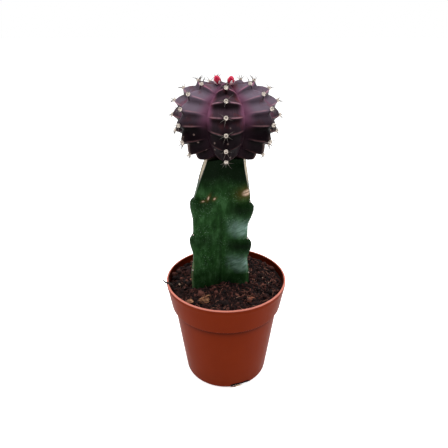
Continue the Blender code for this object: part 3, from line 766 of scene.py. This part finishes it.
# ----------------------------------------------------------
# Bark chips. Three bits of tan, fibrous bark that lie loose on the mix near the front wall.
# Each is a torn flake, thick in the middle, with a coarse long grain; the front one is frayed and
# has shed a splinter behind it.
# ----------------------------------------------------------
CHIPS = {
    "bark_chip_left": [((-18.2, -21.8, 57.1), (3.6, 2.4, 1.3), 0.5, 41, 0.2)],
    "bark_chip_front": [
        ((-11.2, -21.4, 57.4), (4.2, 3.4, 1.5), -0.3, 42, 0.0),
        ((-9.2, -17.8, 58.1), (2.6, 0.8, 0.5), 0.3, 44, 0.0),
    ],
    "bark_chip_right": [((12.5, -20.5, 57.4), (3.8, 2.2, 1.4), 0.8, 43, 1.0)],
}


def chip_shape(centre, size, turn, seed, redness):
    """A flake: a ball squared off by a power, and torn by noise that is long with the grain."""
    polar = np.linspace(0.04, 0.96, 26)[:, None] * math.pi
    power = 0.6
    ring = np.sin(polar) ** power
    x = ring * signed_power(np.cos(round_turn(36)), power)
    y = ring * signed_power(np.sin(round_turn(36)), power)
    unit = np.stack(np.broadcast_arrays(x, y, signed_power(np.cos(polar), power)), axis=-1)
    rough = 1 + 0.22 * value_noise(unit * (0.6, 2.6, 2.2), 0.45, seed)
    rough += 0.3 * value_noise(unit, 0.8, seed + 50)
    half = np.array(size) / 2 * MM
    turned = np.array(Matrix.Rotation(turn, 3, "Z") @ Matrix.Rotation(0.12, 3, "X"))
    points = (unit * rough[..., None] * half) @ turned.T + np.array(centre) * MM
    ends = [Vector(points[row].mean(axis=0)) for row in (0, -1)]
    return ring_shape(points, *ends, redness=redness)


bark, tree, shader = begin_material("dry_bark")
place = add_node(tree, "TexCoord").outputs["Object"]
grain_place = add_node(tree, "Mapping", {"Vector": place, "Scale": (0.35, 1, 1)})
grain = add_node(tree, "TexNoise", {
    "Vector": grain_place, "Scale": 900.0, "Detail": 5.0, "Roughness": 0.7})
bark_ramp = add_node(tree, "ValToRGB", {"Fac": grain})
stops = bark_ramp.color_ramp.elements
stops[0].position, stops[0].color = 0.38, linear("#1c0d08")
stops[1].position, stops[1].color = 0.64, linear("#e0ae84")
stops.new(0.5).color = linear("#8c5838")
redness = add_node(tree, "Attribute", attribute_name="redness").outputs["Fac"]
reddened = add_node(tree, "Mix", {
    0: redness, 6: bark_ramp, 7: linear("#c89c98")}, data_type="RGBA", blend_type="MULTIPLY")
grain_bump = add_node(tree, "Bump", {"Height": grain, "Strength": 0.8, "Distance": 0.3 * MM})
feed(shader, {"Base Color": reddened, "Roughness": 0.85, "Normal": grain_bump})

# The front chip frays: loose fibres arch over it, each a short arc that turns as it runs.
FRAYS = 22
FRAY_STEPS = 7
FRAY_MIDDLE, FRAY_SPREAD = (-10.9, -21.2), (1.1, 0.9)
random = np.random.default_rng(45)
share = np.linspace(-0.5, 0.5, FRAY_STEPS)
headings = random.normal(0.5, 0.8, (FRAYS, 1)) + random.normal(0, 0.7, (FRAYS, 1)) * share
fray_lengths = random.uniform(2.0, 4.6, (FRAYS, 1))
flat_paths = flat_arcs(random.normal(FRAY_MIDDLE, FRAY_SPREAD, (FRAYS, 2)), headings, fray_lengths)
fray_z = random.uniform(58.0, 58.5, (FRAYS, 1))
fray_z = fray_z + random.uniform(0.1, 0.9, (FRAYS, 1)) * (1 - (2 * share) ** 2)
fray_paths = np.concatenate([flat_paths, fray_z[..., None]], axis=-1)
fray_radii = random.uniform(0.1, 0.2, (FRAYS, 1)) * (1 - 0.6 * np.abs(2 * share) ** 3)
frays = tubes(fray_paths * MM, fray_radii * MM, 5, redness=np.zeros((FRAYS, FRAY_STEPS)))

for node, flakes in CHIPS.items():
    shapes = [chip_shape(*flake) for flake in flakes]
    if node == "bark_chip_front":
        shapes.append(frays)
    chip = make_piece(f"torn_{node}", shapes, bark)
    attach(chip, "root")
    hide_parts(node)


# ----------------------------------------------------------
# Twig. A thin dry twig that lies half in the mix and pokes out over the lip at the left, dark
# with age, knobbly at a node and worn thin at its free end.
# ----------------------------------------------------------
TWIG_POINTS = np.array([(-27.0, -9.6, 56.4), (-29.4, -9.0, 59.5), (-32.2, -7.8, 59.7), (-34.2, -6.2, 60.4)])
TWIG_RADIUS = 0.45 * MM


def smooth_route(points, count):
    """A Catmull-Rom curve through the points, so that the route bends without corners."""
    padded = np.vstack([2 * points[0] - points[1], points, 2 * points[-1] - points[-2]])
    at = np.linspace(0, len(points) - 1 - 1e-6, count)
    span = np.floor(at).astype(int)
    t = (at - span)[:, None]
    a, b, c, d = (padded[span + step] for step in range(4))
    square, cube = 2 * a - 5 * b + 4 * c - d, 3 * b - a - 3 * c + d
    return 0.5 * (2 * b + (c - a) * t + square * t ** 2 + cube * t ** 3)


dead_wood, tree, shader = begin_material("dead_twig_wood")
place = add_node(tree, "TexCoord").outputs["Object"]
flakes = add_node(tree, "TexNoise", {
    "Vector": place, "Scale": 2200.0, "Detail": 3.0, "Roughness": 0.6})
twig_tone = add_node(tree, "Mix", {
    0: flakes, 6: linear("#0d0908"), 7: linear("#3a2c26")}, data_type="RGBA")
flake_bump = add_node(tree, "Bump", {"Height": flakes, "Strength": 0.6, "Distance": 0.1 * MM})
feed(shader, {"Base Color": twig_tone, "Roughness": 0.8, "Normal": flake_bump})

TWIG_STEPS = 48
twig_route = smooth_route(TWIG_POINTS * MM, TWIG_STEPS)
share = np.linspace(0, 1, TWIG_STEPS)
knots = 1 + 0.45 * np.exp(-((share - 0.55) / 0.03) ** 2) + 0.12 * np.sin(share * 60)
twig_radii = TWIG_RADIUS * knots * (1 - 0.5 * smooth((share - 0.6) / 0.4))
twig = make_piece("dry_twig", [tubes(twig_route[None], twig_radii[None], 10)], dead_wood)
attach(twig, "root")
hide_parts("twig")


# ----------------------------------------------------------
# Scion. The grafted globe, one living piece cut flat underneath and grown on to the rootstock:
# seven deep ribs, each a stack of chins whose pale upper edges run from areole to furrow. Its
# skin is matt and plum-grey and wine-red in the furrows; a painted sheen lightens the upper
# flanks of the side ribs, painted shade darkens each chin below its crest, and the lower half
# is painted nearly black brown as shade.
# ----------------------------------------------------------
SCION_Z = 146.0 * MM
SCION_RADIUS = 24.9 * MM
CROWN_HEIGHT = 17.2 * MM
UNDER_HEIGHT = 19.9 * MM
CROWN_DIMPLE = 2.6 * MM
DIMPLE_WIDTH = math.radians(24)
SCION_RIBS = 7
FURROW = 0.24
CHIN = 0.085
CHIN_FALL = 0.38
TIER = math.radians(21)
RIB_PHASES = np.array([0.70, 0.41, 0.37, 0.75, 0.00, 0.35, 0.43])
# How much painted sheen lightens each rib's upper flanks; the front rib gets none.
RIB_WAX = np.array([0.0, 1.0, 0.8, 0.6, 0.5, 0.8, 1.0])


def scion_surface(polar, azimuth, fine=0.0):
    """The scion's surface at a polar angle from the crown and an azimuth, with its marks.

    A globe of two half heights is scaled along each radius: less towards the furrows, and up and
    down along each rib, where the surface rises to every areole and falls quickly below it. With
    fine at 1 the chins reach further into the furrows, their edges are crisp towards the furrows,
    and they swell to a blunt knob at the areole.
    """
    place = (azimuth + math.pi / 2) / (2 * math.pi / SCION_RIBS)
    rib = np.rint(place).astype(int)
    across = np.abs(place - rib) * 2
    step = np.mod(polar / TIER - RIB_PHASES[rib % SCION_RIBS], 1.0)
    crisp = fine * smooth(across / 0.35)
    fall = 1 - smooth(step / (CHIN_FALL - 0.14 * crisp))
    climb = np.clip((step - CHIN_FALL) / (1 - CHIN_FALL), 0, 1)
    knob = 1 - (1 - climb) ** 1.6
    rise = climb ** (1.2 + 0.9 * crisp)
    rise = rise + (fine - crisp) * (knob - rise)
    chin = np.where(step < CHIN_FALL, fall, rise) - 0.5
    ends = smooth(polar / math.radians(35)) * smooth((math.pi - polar) / math.radians(40))
    reach = (1 - fine) * (1 - across) ** 0.6 + fine * (1 - across ** 2.6)
    scale = 1 - FURROW * ends * across ** 1.5 + CHIN * ends * reach * chin
    up = np.cos(polar) > 0
    height = np.where(up, CROWN_HEIGHT, UNDER_HEIGHT)
    fullness = np.where(up, 0.94, 0.62)
    flat = SCION_RADIUS * scale * np.abs(np.sin(polar)) ** fullness
    dimple = CROWN_DIMPLE * np.exp(-(polar / DIMPLE_WIDTH) ** 2)
    z = SCION_Z + height * scale * np.cos(polar) - dimple
    edge = np.minimum(step, 1 - step)
    crest = np.exp(-(edge / 0.036) ** 2) * smooth((across - 0.12) / 0.15)
    crest *= 1 - smooth((across - 0.55) / 0.35)
    shade = smooth((step - 0.03) / 0.08) * (1 - smooth((step - 0.22) / 0.45))
    shade *= 1 - smooth((across - 0.5) / 0.5)
    paler = 0.5 * RIB_WAX[rib % SCION_RIBS] * (1 - smooth((polar - 1.0) / 0.6))
    shade *= 1 - np.maximum(paler, 0.6 * (1 - smooth((polar - 0.6) / 0.2)))
    cleft = np.exp(-(across / 0.055) ** 2) * smooth((step - 0.03) / 0.05)
    cleft *= 1 - smooth((step - 0.22) / 0.15)
    old_rib = 0.75 * np.exp(-(across / 0.065) ** 2) * np.isin(rib % SCION_RIBS, (1, 3, 4, 6))
    # The shade mark is painted shade below each chin's crest and in the cleft under each areole, and the
    # last mark is a painted sheen on the upper flanks of the side ribs.
    marks = {
        "crest": crest * ends, "across": across, "shade": np.clip(shade + cleft, 0, 1) * ends,
        "low": polar / math.pi, "old_rib": old_rib * smooth((polar - math.radians(104)) / 0.2),
        "east": np.cos(azimuth), "north": np.sin(azimuth),
        "wax": RIB_WAX[rib % SCION_RIBS] * smooth(polar / 0.5) * (1 - smooth((polar - 1.1) / 0.6)),
    }
    return round_axis(flat, azimuth, z), marks


scion_skin, tree, shader = begin_material("plum_scion_skin")
place = add_node(tree, "TexCoord").outputs["Object"]
across, crest, shade, low, old_rib, east, north, wax = (
    add_node(tree, "Attribute", attribute_name=name).outputs["Fac"]
    for name in ("across", "crest", "shade", "low", "old_rib", "east", "north", "wax"))
mottle = add_node(tree, "TexNoise", {
    "Vector": place, "Scale": 420.0, "Detail": 5.0, "Roughness": 0.6})
# Streaks run down the ribs: their noise hardly changes from the crown to the foot.
down_rib = add_node(tree, "CombineXYZ", {"X": east, "Y": north, "Z": low})
streak_place = add_node(tree, "Mapping", {"Vector": down_rib, "Scale": (1, 1, 0.35)})
streaks = add_node(tree, "TexNoise", {
    "Vector": streak_place, "Scale": 34.0, "Detail": 4.0, "Roughness": 0.6})
wax_share = add_node(tree, "MapRange", {"Value": wax, "To Max": 0.55})
furrow_share = add_node(tree, "MapRange", {
    "Value": across, "From Min": 0.48, "From Max": 0.97, "To Max": 0.85,
}, interpolation_type="SMOOTHSTEP")
fleck_noise = add_node(tree, "TexNoise", {
    "Vector": place, "Scale": 160.0, "Detail": 4.0, "Roughness": 0.6})
fleck_share = add_node(tree, "MapRange", {
    "Value": fleck_noise, "From Min": 0.54, "From Max": 0.68, "To Max": 0.55})
# The lower half of the globe is painted nearly black brown as shade.
low_share = add_node(tree, "MapRange", {
    "Value": low, "From Min": 0.4, "From Max": 0.58, "To Max": 0.96}, interpolation_type="SMOOTHSTEP")
tone = linear("#28171e")
for share, coat in (
    (streaks, "#4e3c47"),
    (wax_share, "#8d7e90"),
    (furrow_share, "#80506a"),
    (fleck_share, "#64292a"),
    (low_share, "#0c0508"),
):
    tone = add_node(tree, "Mix", {0: share, 6: tone, 7: linear(coat)}, data_type="RGBA")
shaded = add_node(tree, "Mix", {
    0: shade, 6: tone, 7: linear("#5c424c")}, data_type="RGBA", blend_type="MULTIPLY")
crest_tone = add_node(tree, "ValToRGB", {"Fac": low})
stops = crest_tone.color_ramp.elements
stops[0].position, stops[0].color = 0.12, linear("#c0688a")
stops[1].position, stops[1].color = 0.68, linear("#3a2424")
for position, colour in ((0.3, "#b78a98"), (0.5, "#7e5c60")):
    stops.new(position).color = linear(colour)
crest_noise = add_node(tree, "MapRange", {
    "Value": fleck_noise, "From Min": 0.35, "From Max": 0.6, "To Min": 0.45, "To Max": 1.0})
crest_share = add_node(tree, "Math", {0: crest, 1: crest_noise}, operation="MULTIPLY")
crested = add_node(tree, "Mix", {0: crest_share, 6: shaded, 7: crest_tone}, data_type="RGBA")
scab_cells = add_node(tree, "TexVoronoi", {"Vector": place, "Scale": 210.0, "Randomness": 1.0})
scab_dots = add_node(tree, "MapRange", {
    "Value": scab_cells, "From Min": 0.13, "From Max": 0.06, "To Max": 0.6})
scab_share = add_node(tree, "Math", {0: scab_dots, 1: low_share}, operation="MULTIPLY")
broken_rib = add_node(tree, "Math", {0: old_rib, 1: crest_noise}, operation="MULTIPLY")
scab_or_rib = add_node(tree, "Math", {0: scab_share, 1: broken_rib}, operation="MAXIMUM")
scabbed = add_node(tree, "Mix", {
    0: scab_or_rib, 6: crested, 7: linear("#84706a")}, data_type="RGBA")
skin_bump = add_node(tree, "Bump", {"Height": mottle, "Strength": 0.35, "Distance": 0.2 * MM})
feed(shader, {
    "Base Color": scabbed, "Roughness": 0.5, "Specular IOR Level": 0.03, "Normal": skin_bump})

cut_polar = math.acos(-(SCION_Z - GRAFT_Z - GAP) / UNDER_HEIGHT)
polar_rows = np.concatenate([np.linspace(0.012, cut_polar, 215), [cut_polar]])
azimuths = np.linspace(-math.pi, math.pi, 420, endpoint=False)
scion_grid = np.meshgrid(polar_rows, azimuths, indexing="ij")
scion_points, scion_marks = scion_surface(*scion_grid, fine=1.0)
scion_points[-1] *= (0.98, 0.98, 1.0)
scion_points[..., 2] = np.maximum(scion_points[..., 2], GRAFT_Z + GAP)
scion_ends = (
    Vector((0, 0, scion_points[0, :, 2].mean())), Vector((0, 0, GRAFT_Z + GAP)))
scion = make_piece("plum_scion", [ring_shape(scion_points, *scion_ends, **scion_marks)], scion_skin)
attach(scion, "root")
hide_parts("scion")


# ----------------------------------------------------------
# Areoles. On the crest of every chin sits a cushion of cream wool, hollow in the middle, with
# four to seven thin grey-brown spines that curve out of it. The rootstock has small ones, one on
# top of each lobe. They grow from the skin.
# ----------------------------------------------------------
WOOL_RADIUS = 0.9 * MM
WOOL_HEIGHT = 0.75 * MM
WOOL_LIFT = 0.4 * MM
SPINE_LENGTH = 3.8 * MM
SPINE_RADIUS = 0.17 * MM
FIRST_AREOLE, LAST_AREOLE = math.radians(16), math.radians(150)


def skin_frame(polar, azimuth):
    """A point of the skin, the way out of it, the way up it and the way across it."""
    step = 0.02
    point, above, below = (
        scion_surface(np.array([polar + turn]), np.array([azimuth]))[0][0] for turn in (0, -step, step))
    upward = (above - below) / np.linalg.norm(above - below)
    outward = np.cross((-math.sin(azimuth), math.cos(azimuth), 0), upward)
    outward /= np.linalg.norm(outward)
    outward *= np.sign(outward @ (point - (0, 0, SCION_Z)))
    return point, outward, upward, np.cross(upward, outward)


def wool_shape(seed):
    """A cushion: a flat ring-shaped ball, dished in the middle, its surface fuzzed by noise."""
    polar = np.linspace(0.06, 0.94, 12)[:, None] * math.pi
    dish = 0.55 * np.exp(-(np.sin(polar) / 0.42) ** 2) * (np.cos(polar) > 0)
    unit = round_axis(np.sin(polar) ** 0.7, round_turn(20), np.cos(polar) * 1.1 - dish)
    fuzz = 1 + 0.13 * value_noise(unit, 0.3, seed)
    points = unit * fuzz[..., None] * (WOOL_RADIUS, WOOL_RADIUS, WOOL_HEIGHT)
    ends = [points[row].mean(axis=0) for row in (0, -1)]
    return ring_shape(points, *ends, spine=0.0, pit=dish * 1.8)


def spine_shape(random, crowding):
    """Spines that start in the cushion's dish and curve outwards, thinning to a point.

    Near the crown more of them stand all round the areole; further down they fan out sideways
    and down.
    """
    count = int(random.integers(5, 8) if crowding < 0.8 else random.integers(4, 7))
    fan = math.pi * (2 - 0.85 * smooth((crowding - 0.8) / 0.2))
    around = -math.pi / 2 + fan * (np.arange(count) / (count - 1) - 0.5) + random.normal(0, 0.15, count)
    spread = random.uniform(0.6, 1.15, count) * crowding
    length = SPINE_LENGTH * (0.6 + 0.4 * crowding) * random.uniform(0.75, 1.15, count)
    share = np.linspace(0, 1, 8)
    lean = spread[:, None] * (0.7 + 0.5 * share)
    run = length[:, None] * share
    out = 0.35 * MM + run * np.sin(lean)
    rise = run * np.cos(lean) - 0.2 * MM
    paths = round_axis(out, around[:, None], rise)
    radii = SPINE_RADIUS * (1 - share) ** 0.8 + 0.015 * MM
    tint = np.broadcast_to(0.3 + 0.7 * share, run.shape)
    return tubes(paths, np.broadcast_to(radii, run.shape), 6, spine=tint, pit=np.zeros_like(run))


wool_and_spine, tree, shader = begin_material("areole_wool_and_spines")
place = add_node(tree, "TexCoord").outputs["Object"]
spine, pit = (
    add_node(tree, "Attribute", attribute_name=name).outputs["Fac"]
    for name in ("spine", "pit"))
fluff = add_node(tree, "TexNoise", {
    "Vector": place, "Scale": 2600.0, "Detail": 3.0, "Roughness": 0.7})
wool_tone = add_node(tree, "Mix", {
    0: fluff, 6: linear("#c9b6a4"), 7: linear("#fff6ea")}, data_type="RGBA")
pitted = add_node(tree, "Mix", {0: pit, 6: wool_tone, 7: linear("#2a1712")}, data_type="RGBA")
spine_tone = add_node(tree, "ValToRGB", {"Fac": spine})
stops = spine_tone.color_ramp.elements
stops[0].position, stops[0].color = 0.3, linear("#5c4e42")
stops[1].position, stops[1].color = 1.0, linear("#2a2120")
is_spine = add_node(tree, "Math", {0: spine, 1: 0.2}, operation="GREATER_THAN")
finish = add_node(tree, "Mix", {0: is_spine, 6: pitted, 7: spine_tone}, data_type="RGBA")
fluff_bump = add_node(tree, "Bump", {"Height": fluff, "Strength": 0.7, "Distance": 0.12 * MM})
feed(shader, {"Base Color": finish, "Roughness": 0.8, "Sheen Weight": 0.3, "Normal": fluff_bump})

areole_count = 0
for rib, phase in enumerate(RIB_PHASES):
    azimuth = -math.pi / 2 + rib * 2 * math.pi / SCION_RIBS
    polars = [(order + phase) * TIER for order in range(9)]
    tiers = [polar for polar in polars if FIRST_AREOLE < polar < LAST_AREOLE]
    for tier, polar in enumerate(tiers):
        areole_count += 1
        point, outward, upward, across = skin_frame(polar, azimuth)
        turn = np.stack([across, upward, outward])
        random = np.random.default_rng(100 + areole_count)
        shapes = [wool_shape(areole_count), spine_shape(random, min(1.0, 0.45 + polar / math.radians(90)))]
        seat = point + outward * WOOL_LIFT
        placed = [(points @ turn + seat, faces, marks) for points, faces, marks in shapes]
        cluster = make_piece(f"areole_r{rib + 1}_{tier + 1}", placed, wool_and_spine)
        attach(cluster, "root")
        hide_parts(f"spine_cluster_r{rib + 1}_{tier + 1}")

# The rootstock's tufts stand where no cut has taken the lobe, clear of the mix.
STOCK_WOOL_SHARE = 0.5
stock_tufts = []
for rib, first_top in enumerate(LOBE_TOPS):
    facing = FIRST_STOCK_RIB + rib * 2 * math.pi / STOCK_RIBS
    outward = np.array([math.cos(facing), math.sin(facing), 0.5]) / math.hypot(1, 0.5)
    sideways = np.array([-math.sin(facing), math.cos(facing), 0.0])
    turn = np.stack([sideways, np.cross(outward, sideways), outward])
    tops = first_top - LOBE_PITCH * np.arange(3)
    for top in tops[(tops < CUT_START_Z) & (tops > SOIL_Z + 3 * MM)]:
        point = stock_surface(np.array([top - 0.4 * MM]), np.array([facing]))[0][0]
        random = np.random.default_rng(int(top / MM * 10))
        for points, faces, marks in (wool_shape(rib + 60), spine_shape(random, 0.7)):
            stock_tufts.append((STOCK_WOOL_SHARE * points @ turn + point, faces, marks))
stock_areoles = make_piece("rootstock_areoles", stock_tufts, wool_and_spine)
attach(stock_areoles, "root")


# ----------------------------------------------------------
# Flower buds. Two closed buds that push out of the crown, crimson petals rolled tight into an
# egg, held by a few pinkish-white scales at the foot. They grow from areoles at the crown.
# ----------------------------------------------------------
BUD_LENGTH = 4.1 * MM
BUD_RADIUS = 1.55 * MM
SCALES = 5
# Each bud's polar angle and azimuth on the scion, then how far it leans and which way, in degrees.
BUDS = {
    "flower_bud_left": (11, 232, 22, 200),
    "flower_bud_right": (11, -71, 14, -30),
}


def bud_radius(share, around):
    """An egg's radius along its length, grooved where the rolled petals overlap."""
    egg = np.sqrt(np.clip(1 - (2 * share - 1) ** 2, 0, 1)) * (1 - 0.15 * share ** 2)
    return BUD_RADIUS * egg * (1 + 0.05 * np.cos(5 * around + 5 * share) * share)


def bud_shapes():
    """The rolled petals, and five scales: each a flat closed ring that follows the egg and narrows."""
    share = np.linspace(0.01, 0.99, 28)[:, None]
    around = round_turn(40)
    petals = round_axis(bud_radius(1 - share, around), around, (1 - share) * BUD_LENGTH)
    shapes = [ring_shape(petals, (0, 0, BUD_LENGTH), (0, 0, 0), scale=0.0, tip=1 - share)]
    loop = -round_turn(16)
    drop = np.linspace(0.98, 0.02, 14)[:, None]
    for index in range(SCALES):
        top = 0.66 - 0.22 * (index % 2)
        along = 0.03 + (top - 0.03) * drop
        half_width = 0.5 * (1 - drop) ** 0.5 + 0.02
        angle = index * 2 * math.pi / SCALES + 0.4 + half_width * np.cos(loop)
        away = bud_radius(along, angle) + (0.13 + 0.08 * np.sin(loop) + 0.25 * drop ** 3) * MM
        ring = round_axis(away, angle, along * BUD_LENGTH)
        shapes.append(ring_shape(ring, ring[0].mean(axis=0), ring[-1].mean(axis=0), scale=1.0, tip=drop))
    return shapes


bud_petal, tree, shader = begin_material("crimson_bud_petals")
scale, tip = (
    add_node(tree, "Attribute", attribute_name=name).outputs["Fac"]
    for name in ("scale", "tip"))
petal_tone = add_node(tree, "Mix", {
    0: tip, 6: linear("#8a0a28"), 7: linear("#da1c4c")}, data_type="RGBA")
scale_tone = add_node(tree, "Mix", {
    0: tip, 6: linear("#f0b8c0"), 7: linear("#fffafa")}, data_type="RGBA")
bud_tone = add_node(tree, "Mix", {0: scale, 6: petal_tone, 7: scale_tone}, data_type="RGBA")
feed(shader, {"Base Color": bud_tone, "Roughness": 0.4, "IOR": 1.42})

for node, angles in BUDS.items():
    polar, azimuth, lean, lean_azimuth = (math.radians(angle) for angle in angles)
    point = skin_frame(polar, azimuth)[0]
    tilt = np.array(Matrix.Rotation(lean_azimuth, 3, "Z") @ Matrix.Rotation(lean, 3, "Y"))
    placed = [(points @ tilt.T + point, faces, marks) for points, faces, marks in bud_shapes()]
    bud = make_piece(f"scaly_{node}", placed, bud_petal)
    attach(bud, "root")
    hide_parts(node)
